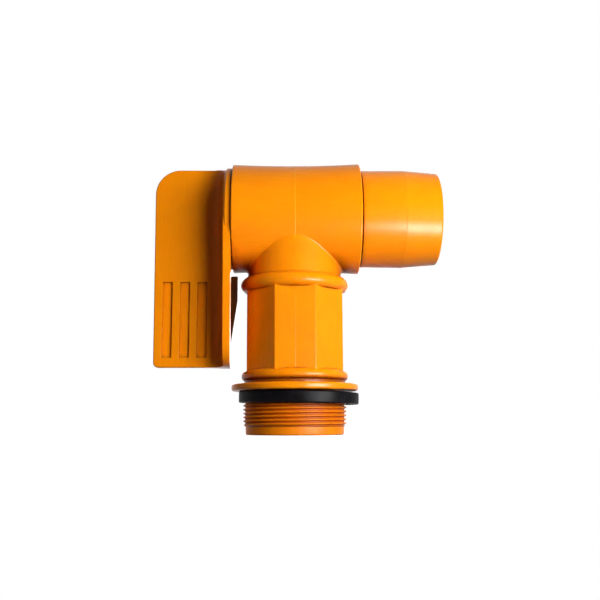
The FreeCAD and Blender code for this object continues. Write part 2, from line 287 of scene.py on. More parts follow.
@dataclass(frozen=True)
class MouldedPolypropylene:
    """Polypropylene coloured through and injection moulded in a polished tool.

    It gives the eye a soft waxy gloss over a deep orange that turns redder in the shade, because
    light runs a little way inside it. Fine drag lines follow the mould's draw, the pigment swirls
    very faintly, sharp edges are rubbed paler, and sheltered places get a red-brown painted shade.
    """

    name: str
    draw: DrawWay
    upper_draw: DrawWay = DrawWay.ALONG_PLUG
    change_height_mm: float = 82.0
    change_fade_mm: float = 2.0
    colour: str = "#FC9004"
    swirl_colour: str = "#F68702"
    worn_colour: str = "#FFB23C"
    # Painted shade: colour, reach and strength of the darkening laid on sheltered places.
    painted_shade_colour: str = "#602004"
    painted_shade_reach_mm: float = 15.0
    painted_shade_share: float = 0.95
    shelter: tuple[float, float] = (0.4, 0.84)
    roughness: float = 0.25
    roughness_swing: tuple[float, float] = (-0.035, 0.05)
    swirl_mm: float = 24.0
    swirl_share: float = 0.55
    drag_line_mm: float = 0.8
    drag_tones: tuple[float, float] = (0.955, 1.035)
    drag_dullness: float = 0.06
    drag_depth_mm: float = 0.012
    grain_mm: float = 0.35
    grain_depth_mm: float = 0.006
    ripple_mm: float = 6.0
    ripple_depth_mm: float = 0.02
    edge_mm: float = 0.3
    edge_share: float = 0.3
    glow_share: float = 0.15
    glow_depth_mm: float = 1.0
    glow_reach: tuple[float, float, float] = (1.0, 0.32, 0.06)
    ior: float = 1.49
    specular_level: float = 0.08

    def _drag(
        self, tree: bpy.types.NodeTree, place: bpy.types.NodeSocket
    ) -> bpy.types.NodeSocket:
        """Fine lines along the mould's draw, which runs another way above the change height.

        Args:
            tree: Node tree that takes the nodes.
            place: Place on the object.

        Returns:
            Socket with the pattern.
        """
        height = add_node(tree, "ShaderNodeSeparateXYZ", {}, {0: place}).outputs["Z"]
        low = (self.change_height_mm - self.change_fade_mm) * MM
        high = (self.change_height_mm + self.change_fade_mm) * MM
        lines = []
        for way in (self.draw, self.upper_draw):
            stretched = add_node(
                tree, "ShaderNodeMapping", {}, {"Vector": place, "Scale": way.value}
            ).outputs[0]
            lines.append(noise(tree, stretched, self.drag_line_mm, detail=2.0, roughness=0.6))
        return add_node(tree, "ShaderNodeMix", {"data_type": "FLOAT"}, {
            0: ramp(tree, height, (low, high)), 2: lines[0], 3: lines[1],
        }).outputs[0]

    def _wear(
        self,
        tree: bpy.types.NodeTree,
        soft_edge: bpy.types.NodeSocket,
        ripple: bpy.types.NodeSocket,
    ) -> bpy.types.NodeSocket:
        """Share of the rubbed tone, in patches along sharp edges.

        Args:
            tree: Node tree that takes the nodes.
            soft_edge: Normal rounded over sharp edges.
            ripple: Pattern that makes the patches.

        Returns:
            Socket with the share.
        """
        facing = add_node(tree, "ShaderNodeNewGeometry").outputs["Normal"]
        sameness = add_node(
            tree, "ShaderNodeVectorMath", {"operation": "DOT_PRODUCT"}, {0: soft_edge, 1: facing}
        ).outputs["Value"]
        edge = ramp(tree, sameness, (0.97, 0.78))
        patches = ramp(tree, ripple, (0.35, 0.7), (0.0, self.edge_share))
        return calculate(tree, "MULTIPLY", edge, patches)

    def _painted_shade(
        self, tree: bpy.types.NodeTree, place: bpy.types.NodeSocket
    ) -> bpy.types.NodeSocket:
        """Share of the painted shade, from how sheltered a place is.

        Args:
            tree: Node tree that takes the nodes.
            place: Place on the object, which some finishes go by.

        Returns:
            Socket with the share.
        """
        openness = add_node(
            tree, "ShaderNodeAmbientOcclusion", {"samples": 8}, {"Distance": self.painted_shade_reach_mm * MM}
        ).outputs["AO"]
        return ramp(tree, openness, self.shelter, (self.painted_shade_share, 0.0))

    def material(self) -> bpy.types.Material:
        """Build the material.

        Returns:
            The finished material.
        """
        material, tree = new_material(self.name)
        place = add_node(tree, "ShaderNodeTexCoord").outputs["Object"]
        swirl = noise(tree, place, self.swirl_mm, detail=3.0, roughness=0.55, distortion=0.8)
        drag = self._drag(tree, place)
        grain = noise(tree, place, self.grain_mm, detail=2.0, roughness=0.5)
        ripple = noise(tree, place, self.ripple_mm, detail=1.0, roughness=0.4)
        soft_edge = rounded_normal(tree, self.edge_mm)

        swirled = ramp(tree, swirl, (0.38, 0.66), (0.0, self.swirl_share))
        base = mix_colours(tree, swirled, linear(self.colour), linear(self.swirl_colour))
        drag_tone = ramp(tree, drag, PATTERN_SPAN, self.drag_tones)
        base = mix_colours(tree, 1.0, base, drag_tone, "MULTIPLY")
        worn = self._wear(tree, soft_edge, ripple)
        base = mix_colours(tree, worn, base, linear(self.worn_colour))
        # Painted shade: sheltered places are darkened towards the shade colour.
        base = mix_colours(tree, self._painted_shade(tree, place), base, linear(self.painted_shade_colour))

        smoothest, dullest = (self.roughness + swing for swing in self.roughness_swing)
        gloss = ramp(tree, swirl, PATTERN_SPAN, (smoothest, dullest))
        gloss = calculate(tree, "MULTIPLY_ADD", drag, self.drag_dullness, gloss)

        relief = bump(tree, ripple, strength=0.5, depth=self.ripple_depth_mm, normal=soft_edge)
        relief = bump(tree, drag, strength=0.35, depth=self.drag_depth_mm, normal=relief)
        relief = bump(tree, grain, strength=0.3, depth=self.grain_depth_mm, normal=relief)

        shader = add_node(tree, "ShaderNodeBsdfPrincipled", {}, {
            "Base Color": base,
            "Roughness": gloss,
            "IOR": self.ior,
            "Specular IOR Level": self.specular_level,
            "Normal": relief,
            "Subsurface Weight": self.glow_share,
            "Subsurface Radius": self.glow_reach,
            "Subsurface Scale": self.glow_depth_mm * MM,
        }).outputs[0]
        add_node(tree, "ShaderNodeOutputMaterial", {}, {"Surface": shader})
        return material


@dataclass(frozen=True)
class MouldedLever(MouldedPolypropylene):
    """The same polypropylene, with a painted shadow on the fin behind the arm.

    It gives the eye a clear orange grip and, between arm and neck, a fin darkened by painted
    shadow.
    """

    # Painted shadow on the fin: darkened behind this X, below this height and within this
    # half-width.
    back_x_mm: float = -38.65
    back_fade_mm: float = 0.25
    painted_shadow_top_mm: float = 79.0
    top_fade_mm: float = 2.0
    painted_shadow_half_mm: float = 5.0
    side_fade_mm: float = 1.0
    painted_shadow_share: float = 0.97

    def _painted_shade(
        self, tree: bpy.types.NodeTree, place: bpy.types.NodeSocket
    ) -> bpy.types.NodeSocket:
        """Share of the painted shade from the shelter, and of the painted shadow behind the arm.

        Args:
            tree: Node tree that takes the nodes.
            place: Place on the object.

        Returns:
            Socket with the share.
        """
        spot = add_node(tree, "ShaderNodeSeparateXYZ", {}, {0: place}).outputs
        near = (self.back_x_mm - self.back_fade_mm) * MM
        far = (self.back_x_mm + self.back_fade_mm) * MM
        behind = ramp(tree, spot["X"], (near, far), (0.0, self.painted_shadow_share))
        top = self.painted_shadow_top_mm * MM
        below = ramp(tree, spot["Z"], (top - self.top_fade_mm * MM, top), (1.0, 0.0))
        side = self.painted_shadow_half_mm * MM
        aside = calculate(tree, "ABSOLUTE", spot["Y"])
        middle = ramp(tree, aside, (side - self.side_fade_mm * MM, side), (1.0, 0.0))
        # Painted shadow on the fin, which lies in the neck's shade.
        painted_shadow = calculate(tree, "MULTIPLY", behind, below)
        painted_shadow = calculate(tree, "MULTIPLY", painted_shadow, middle)
        return calculate(tree, "MAXIMUM", super()._painted_shade(tree, place), painted_shadow)


@dataclass(frozen=True)
class MouldedThread(MouldedPolypropylene):
    """The same polypropylene where its mould was unscrewed from the thread.

    It gives the eye bright crests over roots darkened by painted shade.
    """

    root_mm: float = 28.75
    flank_mm: float = 29.55
    pilot_top_mm: float = -13.8

    def _painted_shade(
        self, tree: bpy.types.NodeTree, place: bpy.types.NodeSocket
    ) -> bpy.types.NodeSocket:
        """Share of the painted shade in the roots, from the distance to the thread's axis.

        Args:
            tree: Node tree that takes the nodes.
            place: Place on the object.

        Returns:
            Socket with the share.
        """
        across = add_node(
            tree, "ShaderNodeVectorMath", {"operation": "MULTIPLY"}, {0: place, 1: (1, 1, 0)}
        ).outputs[0]
        radius = add_node(
            tree, "ShaderNodeVectorMath", {"operation": "LENGTH"}, {0: across}
        ).outputs["Value"]
        depths = (self.root_mm * MM, self.flank_mm * MM)
        # Painted shade: the roots between the crests are darkened.
        painted_root_shade = ramp(tree, radius, depths, (self.painted_shade_share, 0.0))
        height = add_node(tree, "ShaderNodeSeparateXYZ", {}, {0: place}).outputs["Z"]
        above_pilot = calculate(tree, "GREATER_THAN", height, self.pilot_top_mm * MM)
        return calculate(tree, "MULTIPLY", painted_root_shade, above_pilot)


@dataclass(frozen=True)
class MouldedRubber:
    """Black rubber, press moulded.

    It gives the eye a deep black with a faint grey bloom, a broad dull sheen and fine pores.
    """

    name: str
    colour: str = "#050404"
    bloom_colour: str = "#1C1922"
    dust_colour: str = "#5A5552"
    roughness: float = 0.42
    roughness_swing: tuple[float, float] = (-0.05, 0.1)
    bloom_mm: float = 7.0
    bloom_share: float = 0.5
    bloom_depth_mm: float = 0.08
    dust_mm: float = 0.8
    dust_share: float = 0.35
    pore_mm: float = 0.5
    pore_depth_mm: float = 0.02
    edge_mm: float = 0.3
    ior: float = 1.52
    specular_level: float = 0.03

    def material(self) -> bpy.types.Material:
        """Build the material.

        Returns:
            The finished material.
        """
        material, tree = new_material(self.name)
        place = add_node(tree, "ShaderNodeTexCoord").outputs["Object"]
        bloom = noise(tree, place, self.bloom_mm, detail=4.0, roughness=0.6)
        dust = noise(tree, place, self.dust_mm, detail=5.0, roughness=0.75)
        pores = add_node(tree, "ShaderNodeTexVoronoi", {}, {
            "Vector": place, "Scale": per_mm(self.pore_mm), "Randomness": 1.0,
        }).outputs["Distance"]

        bloomed = ramp(tree, bloom, (0.42, 0.72), (0.0, self.bloom_share))
        base = mix_colours(tree, bloomed, linear(self.colour), linear(self.bloom_colour))
        dusty = ramp(tree, dust, (0.66, 0.8), (0.0, self.dust_share))
        base = mix_colours(tree, dusty, base, linear(self.dust_colour))

        relief = rounded_normal(tree, self.edge_mm)
        relief = bump(tree, pores, strength=0.4, depth=self.pore_depth_mm, normal=relief)
        relief = bump(tree, bloom, strength=0.5, depth=self.bloom_depth_mm, normal=relief)
        smoothest, dullest = (self.roughness + swing for swing in self.roughness_swing)
        gloss = ramp(tree, bloom, PATTERN_SPAN, (smoothest, dullest))
        shader = add_node(tree, "ShaderNodeBsdfPrincipled", {}, {
            "Base Color": base,
            "Roughness": gloss,
            "IOR": self.ior,
            "Specular IOR Level": self.specular_level,
            "Normal": relief,
        }).outputs[0]
        add_node(tree, "ShaderNodeOutputMaterial", {}, {"Surface": shader})
        return material


# Meshes

def mesh_object(name: str, mesh: bmesh.types.BMesh) -> bpy.types.Object:
    """Turn a working mesh into an object of the scene, and free the working mesh.

    Args:
        name: Name of the object and of its mesh.
        mesh: Working mesh, in metres.

    Returns:
        The object, at the origin.
    """
    bmesh.ops.recalc_face_normals(mesh, faces=mesh.faces)
    data = bpy.data.meshes.new(name)
    mesh.to_mesh(data)
    mesh.free()
    piece = bpy.data.objects.new(name, data)
    bpy.context.scene.collection.objects.link(piece)
    return piece


def smooth_by_angle(piece: bpy.types.Object, degrees: float) -> None:
    """Shade a piece smooth, with edges sharper than an angle kept crisp.

    Args:
        piece: Object with a mesh.
        degrees: Angle between faces from which an edge is sharp.
    """
    data = piece.data
    for polygon in data.polygons:
        polygon.use_smooth = True
    data.set_sharp_from_angle(angle=math.radians(degrees))


def keep_flats_flat(piece: bpy.types.Object) -> None:
    """Let a piece's large faces set the shading, so that small fillets don't bend it.

    Args:
        piece: Object with a smooth mesh.
    """
    weighted = piece.modifiers.new("flats", "WEIGHTED_NORMAL")
    weighted.mode = "FACE_AREA"
    weighted.weight = 100
    weighted.keep_sharp = True


def dress(
    piece: bpy.types.Object,
    material: bpy.types.Material,
) -> None:
    """Give a piece its only material.

    Args:
        piece: Object with a mesh.
        material: Finished material.
    """
    piece.data.materials.clear()
    piece.data.materials.append(material)


def skin_rings(
    mesh: bmesh.types.BMesh,
    rings: list[list[bmesh.types.BMVert]],
    closed: bool,
) -> None:
    """Join rings of vertices with faces, each ring closed in itself.

    Args:
        mesh: Working mesh that holds the vertices.
        rings: Rings of equal length.
        closed: Whether the last ring joins the first.
    """
    pairs = list(zip(rings, rings[1:]))
    if closed:
        pairs.append((rings[-1], rings[0]))
    count = len(rings[0])
    for near, far in pairs:
        for i in range(count):
            j = (i + 1) % count
            mesh.faces.new((near[i], near[j], far[j], far[i]))


def arc_points(
    centre: tuple[float, float],
    radius: float,
    start: float,
    end: float,
    steps: int,
) -> Profile:
    """Points along an arc.

    Args:
        centre: Centre of the arc.
        radius: Radius.
        start: First angle, in degrees.
        end: Last angle, in degrees.
        steps: Spans between the first and the last point.

    Returns:
        Points from the first angle to the last.
    """
    points = []
    for i in range(steps + 1):
        angle = math.radians(start + (end - start) * i / steps)
        points.append((
            centre[0] + radius * math.cos(angle),
            centre[1] + radius * math.sin(angle),
        ))
    return points


# Sub-assemblies

@dataclass
class BodyMoulding:
    """Fixed moulding above the gasket's inside: its own solid, cut where the gasket hides it."""

    cut_height: float = CUT_HEIGHT_MM
    witness_width: float = 0.5
    witness_height: float = 0.06
    witness_foot: float = 0.02
    witness_root: float = 0.15
    witness_crown: float = 0.45
    witness_step: float = 0.35
    witness_turn: int = 2
    flange_floor: float = 10.7
    line_change: float = 92.0
    ray_start: float = 60.0
    crisp_angle: float = 32.0

    def build(self) -> list[bpy.types.Object]:
        """Build the upper part of the moulding and the witness lines of its mould.

        Returns:
            The pieces.
        """
        node = frame["nodes"]["tap_body"]
        upper = self._upper_part(node)
        surface = BVHTree.FromObject(node, bpy.context.evaluated_depsgraph_get())
        lines = []
        for side, facing in ((-1, "front"), (1, "back")):
            points = self._outline(surface, side)
            on_tube = [point for point in points if point.z > self.line_change * MM]
            on_neck = points[len(on_tube) - 1:]
            lines.append(self._witness_line(on_tube, side, f"witness_line_tube_{facing}"))
            lines.append(self._witness_line(on_neck, side, f"witness_line_neck_{facing}"))
        return [upper, *lines]

    def _upper_part(self, node: bpy.types.Object) -> bpy.types.Object:
        """Copy the solid's mesh and cut it at the hidden height.

        Args:
            node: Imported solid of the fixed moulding.

        Returns:
            The closed upper part.
        """
        mesh = bmesh.new()
        mesh.from_mesh(node.data)
        bmesh.ops.remove_doubles(mesh, verts=mesh.verts, dist=MERGE_MM * MM)
        cut = bmesh.ops.bisect_plane(
            mesh,
            geom=[*mesh.verts, *mesh.edges, *mesh.faces],
            plane_co=(0, 0, self.cut_height * MM),
            plane_no=(0, 0, 1),
            clear_inner=True,
        )
        edges = [item for item in cut["geom_cut"] if isinstance(item, bmesh.types.BMEdge)]
        bmesh.ops.triangle_fill(mesh, use_beauty=True, edges=edges)
        return mesh_object("tap_body_moulding", mesh)

    def _outline(self, surface: BVHTree, side: int) -> list[Vector]:
        """Follow the moulding's outside in the mould's parting plane, X = 0.

        Args:
            surface: Search tree of the solid.
            side: -1 for the viewer's side and 1 for the far side.

        Returns:
            Points from the tube's top down to the flange's rim.
        """
        axis = Vector(frame["joints"][0]["pos_m"])
        reach = self.ray_start * MM
        points = []
        for degrees in range(90, 0, -self.witness_turn):
            angle = math.radians(degrees)
            outward = Vector((0, side * math.cos(angle), math.sin(angle)))
            points.append(surface.ray_cast(axis + outward * reach, -outward)[0])
        height = axis.z
        while height > self.flange_floor * MM:
            start = Vector((0, side * reach, height))
            points.append(surface.ray_cast(start, Vector((0, -side, 0)))[0])
            height -= self.witness_step * MM
        return points

    def _witness_line(self, points: list[Vector], side: int, name: str) -> bpy.types.Object:
        """Raise a stretch of the fine line that the mould's parting left.

        Args:
            points: Points that the line follows on the surface.
            side: -1 for the viewer's side and 1 for the far side.
            name: Name of the piece.

        Returns:
            The line, sunk into the surface at its root.
        """
        half, crown = self.witness_width / 2, self.witness_width / 2 * self.witness_crown
        section = [
            (-half, -self.witness_root),
            (half, -self.witness_root),
            (half, -self.witness_foot),
            (crown, self.witness_height),
            (-crown, self.witness_height),
            (-half, -self.witness_foot),
        ]
        mesh = bmesh.new()
        rings = []
        for i, point in enumerate(points):
            before = points[max(i - 1, 0)]
            after = points[min(i + 1, len(points) - 1)]
            along = (after - before).normalized()
            outward = Vector((0, -along.z * side, along.y * side)).normalized()
            rings.append([
                mesh.verts.new(point + (Vector((x, 0, 0)) + outward * rise) * MM)
                for x, rise in section
            ])
        skin_rings(mesh, rings, closed=False)
        mesh.faces.new(rings[0])
        mesh.faces.new(list(reversed(rings[-1])))
        return mesh_object(name, mesh)

    def finish(
        self,
        pieces: list[bpy.types.Object],
        material: bpy.types.Material,
        tube_line_painted_highlight_material: bpy.types.Material,
        neck_line_material: bpy.types.Material,
    ) -> None:
        """Dress the pieces, let them ride, keep the first one's flats flat and hide the imported
        solid.

        Args:
            pieces: What build returned.
            material: Finish of the moulding.
            tube_line_painted_highlight_material: Finish of the raised lines on the tube, paler as a
                painted highlight.
            neck_line_material: Finish of the raised lines on the neck.
        """
        for piece in pieces:
            smooth_by_angle(piece, self.crisp_angle)
            if piece.name.startswith("witness_line_tube"):
                dress(piece, tube_line_painted_highlight_material)
            elif piece.name.startswith("witness_line_neck"):
                dress(piece, neck_line_material)
            else:
                dress(piece, material)
            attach(piece, TapBody.FIXED.value)
        keep_flats_flat(pieces[0])
        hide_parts("tap_body")


@dataclass
class ThreadedEnd:
    """Male thread, 2 inch with 11.5 turns per inch, and the plain pilot below it."""

    pitch: float = 2.209
    crest_radius: float = 29.95
    root_radius: float = 28.62
    crest_flat: float = 0.12
    root_flat: float = 0.16
    flank_softness: float = 0.25
    lead_in_slope: float = 0.9
    relief_radius: float = 29.05
    relief_height: float = -0.4
    relief_fade_turns: float = 0.5
    top_height: float = CUT_HEIGHT_MM
    thread_end: float = -13.9
    pilot_radius: float = 28.4
    pilot_neck: float = 0.3
    pilot_end: float = -18.4
    pilot_round: float = 0.9
    bore_radius: float = 24.0
    bore_round: float = 0.5
    columns: int = 288
    rows_per_turn: int = 14
    crisp_angle: float = 40.0

    def _turn_radius(self, phase: float) -> float:
        """Radius of the thread's rounded V at a share of one turn.

        Args:
            phase: Share of a turn, from a crest.

        Returns:
            Radius, in millimetres.
        """
        away = min(phase, 1 - phase) * 2
        share = (away - self.crest_flat) / (1 - self.crest_flat - self.root_flat)
        share = min(max(share, 0.0), 1.0)
        eased = share * share * (3 - 2 * share)
        share = (1 - self.flank_softness) * share + self.flank_softness * eased
        return self.crest_radius + (self.root_radius - self.crest_radius) * share

    def _radius(self, phase: float, height: float) -> float:
        """Radius of the thread with its run-out at both ends.

        Args:
            phase: Share of a turn, from a crest.
            height: Height, in millimetres.

        Returns:
            Radius, in millimetres.
        """
        if height >= self.top_height:
            return self.relief_radius
        if height <= self.thread_end:
            return self.pilot_radius
        lead_in = self.pilot_radius + (height - self.thread_end) * self.lead_in_slope
        radius = min(self._turn_radius(phase), max(lead_in, self.pilot_radius))
        if height > self.relief_height:
            fade = (height - self.relief_height) / (self.pitch * self.relief_fade_turns)
            radius += (self.relief_radius - radius) * min(fade, 1.0)
        return radius

    def _outside(self, turn: float, rows: int) -> Profile:
        """Profile of the thread from the top down, at one place round its axis.

        Args:
            turn: Share of a turn round the axis.
            rows: Number of steps down.

        Returns:
            Radii and heights, in millimetres.
        """
        profile = []
        for row in range(rows, -1, -1):
            turns_up = row / self.rows_per_turn
            height = self.thread_end - self.pitch + (turns_up + turn) * self.pitch
            height = min(max(height, self.thread_end), self.top_height)
            profile.append((self._radius(turns_up % 1, height), height))
        return profile

    def _underside(self) -> Profile:
        """Profile from the thread's end round the pilot and up the bore.

        Returns:
            Radii and heights, in millimetres.
        """
        pilot, bore = self.pilot_round, self.bore_round
        return (
            [(self.pilot_radius, self.thread_end - self.pilot_neck)]
            + arc_points((self.pilot_radius - pilot, self.pilot_end + pilot), pilot, 0, -90, 8)
            + arc_points((self.bore_radius + bore, self.pilot_end + bore), bore, -90, -180, 5)
            + [(self.bore_radius, self.top_height)]
        )

    def _join(
        self,
        mesh: bmesh.types.BMesh,
        near: list[bmesh.types.BMVert],
        far: list[bmesh.types.BMVert],
        rows: int,
        lag: int,
    ) -> None:
        """Join two columns of vertices with faces.

        Args:
            mesh: Working mesh that holds the columns.
            near: First column.
            far: Column beside it.
            rows: Last row of the thread.
            lag: Rows up the far column at which its match lies: one turn at the seam, else none.
        """
        for row in range(len(near)):
            below = (row + 1) % len(near)
            partners = [max(k - lag, 0) if k <= rows else k for k in (row, below)]
            corners = [near[row], far[partners[0]], far[partners[1]], near[below]]
            if len(set(corners)) == 4:
                mesh.faces.new(corners)

    def build(self) -> bpy.types.Object:
        """Build the threaded end as one closed ring.

        Returns:
            The piece.
        """
        mesh = bmesh.new()
        span = self.top_height - self.thread_end + 2 * self.pitch
        rows = math.ceil(span / self.pitch * self.rows_per_turn)
        columns = []
        for i in range(self.columns):
            turn = i / self.columns
            angle = 2 * math.pi * turn
            way = Vector((math.cos(angle), math.sin(angle), 0))
            columns.append([
                mesh.verts.new((way * radius + Vector((0, 0, height))) * MM)
                for radius, height in self._outside(turn, rows) + self._underside()
            ])
        for near, far in zip(columns, columns[1:]):
            self._join(mesh, near, far, rows, 0)
        self._join(mesh, columns[-1], columns[0], rows, self.rows_per_turn)
        bmesh.ops.remove_doubles(mesh, verts=mesh.verts, dist=MERGE_MM * MM)
        return mesh_object("threaded_end", mesh)

    def finish(self, piece: bpy.types.Object, material: bpy.types.Material) -> None:
        """Dress the piece, let it ride and hide the fixed moulding's imported solid.

        Args:
            piece: What build returned.
            material: Finish of the thread.
        """
        smooth_by_angle(piece, self.crisp_angle)
        dress(piece, material)
        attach(piece, TapBody.FIXED.value)
        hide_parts("tap_body")


@dataclass
class FlangeGasket:
    """Rubber ring that lies loose on the thread, a little low on the spout's side."""

    outer_radius: float = 34.8
    inner_radius: float = 32.0
    thickness: float = 6.4
    corner: float = 0.55
    bulge: float = 0.05
    shift: float = 2.3
    seat_height: float = 0.15
    droop_degrees: float = 1.0
    waviness: float = 0.12
    waves: int = 3
    wave_start: float = 0.7
    segments: int = 192
    crisp_angle: float = 50.0

    def build(self) -> bpy.types.Object:
        """Build the ring with rounded rims, and lay it down.

        Returns:
            The piece.
        """
        inner, outer, top = self.inner_radius, self.outer_radius, self.thickness
        corner, small = self.corner, self.corner / 2
        profile = (
            arc_points((outer - corner, corner), corner, -90, 0, 6)
            + [(outer + self.bulge, top / 2)]
            + arc_points((outer - corner, top - corner), corner, 0, 90, 6)
            + arc_points((inner + small, top - small), small, 90, 180, 4)
            + arc_points((inner + small, small), small, 180, 270, 4)
        )
        mesh = bmesh.new()
        rings = []
        for i in range(self.segments):
            angle = 2 * math.pi * i / self.segments
            wave = self.waviness * (0.5 + 0.5 * math.sin(self.waves * angle + self.wave_start))
            rings.append([
                mesh.verts.new(Vector((r * math.cos(angle), r * math.sin(angle), z - wave)) * MM)
                for r, z in profile
            ])
        skin_rings(mesh, rings, closed=True)
        droop = math.radians(self.droop_degrees)
        tilt = Matrix.Rotation(droop, 4, "Y")
        lift = self.seat_height - self.outer_radius * math.sin(droop)
        seat = Vector((self.shift, 0, lift)) * MM
        bmesh.ops.transform(mesh, matrix=Matrix.Translation(seat) @ tilt, verts=mesh.verts)
        return mesh_object("gasket_ring", mesh)

    def finish(self, piece: bpy.types.Object, material: bpy.types.Material) -> None:
        """Dress the ring, let it ride and hide its imported solid.

        Args:
            piece: What build returned.
            material: Finish of the rubber.
        """
        smooth_by_angle(piece, self.crisp_angle)
        dress(piece, material)
        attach(piece, TapBody.FIXED.value)
        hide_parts("flange_gasket")


@dataclass
class SpoutPlug:
    """Turning moulding with the spout, and the ring-shaped witness line round it."""

    parting_x: float = 64.05
    parting_radius: float = 29.3
    line_width: float = 0.5
    line_height: float = 0.03
    line_root: float = 0.2
    line_crown: float = 0.4
    barrel_foot: float = 0.01
    tip_foot: float = 0.03
    segments: int = 192
    crisp_angle: float = 60.0

    def build(self) -> bpy.types.Object:
        """Build the witness ring at the spout's widest place.

        Returns:
            The piece.
        """
        axis = Vector(frame["joints"][0]["pos_m"])
        half, crown = self.line_width / 2, self.line_width / 2 * self.line_crown
        low, high = self.parting_radius - self.line_root, self.parting_radius + self.line_height
        section = [
            (-half, low),
            (half, low),
            (half, self.parting_radius - self.tip_foot),
            (crown, high),
            (-crown, high),
            (-half, self.parting_radius - self.barrel_foot),
        ]
        mesh = bmesh.new()
        rings = []
        for i in range(self.segments):
            angle = 2 * math.pi * i / self.segments
            rings.append([
                mesh.verts.new(axis + Vector((
                    self.parting_x + x, r * math.cos(angle), r * math.sin(angle),
                )) * MM)
                for x, r in section
            ])
        skin_rings(mesh, rings, closed=True)
        return mesh_object("spout_witness_ring", mesh)

    def finish(self, ring: bpy.types.Object, material: bpy.types.Material) -> None:
        """Dress the turning moulding and its ring.

        Args:
            ring: What build returned.
            material: Finish of the moulding.
        """
        smooth_by_angle(ring, self.crisp_angle)
        dress(ring, material)
        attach(ring, TapBody.TURNING.value)
        dress(frame["nodes"]["plug_barrel"], material)


@dataclass
class LeverHandle:
    """T-shaped lever in one moulding with its snap drive."""

    node: str = "handle"

    def finish(self, material: bpy.types.Material) -> None:
        """Dress the lever.

        Args:
            material: Finish of the moulding.
        """
        dress(frame["nodes"][self.node], material)


@dataclass
class InnerSeals:
    """Rubber seals inside the tube."""

    nodes: tuple[str, ...] = ("port_seal", "spout_end_o_ring", "handle_end_o_ring", "hub_o_ring")

    def finish(self, material: bpy.types.Material) -> None:
        """Dress each seal.

        Args:
            material: Finish of the rubber.
        """
        for name in self.nodes:
            dress(frame["nodes"][name], material)


# Studio

class LampUse(Enum):
    """Whether a lamp lights the colour, and whether it shows in the gloss."""

    COLOUR = (True, False)
    GLOSS = (False, True)
    BOTH = (True, True)


@dataclass(frozen=True)
class Lamp:
    """White soft lamp that faces the tap; its place is in millimetres, its sides in metres."""

    name: str
    place: tuple[float, float, float]
    width: float
    tall: float
    watts: float
    use: LampUse = LampUse.COLOUR


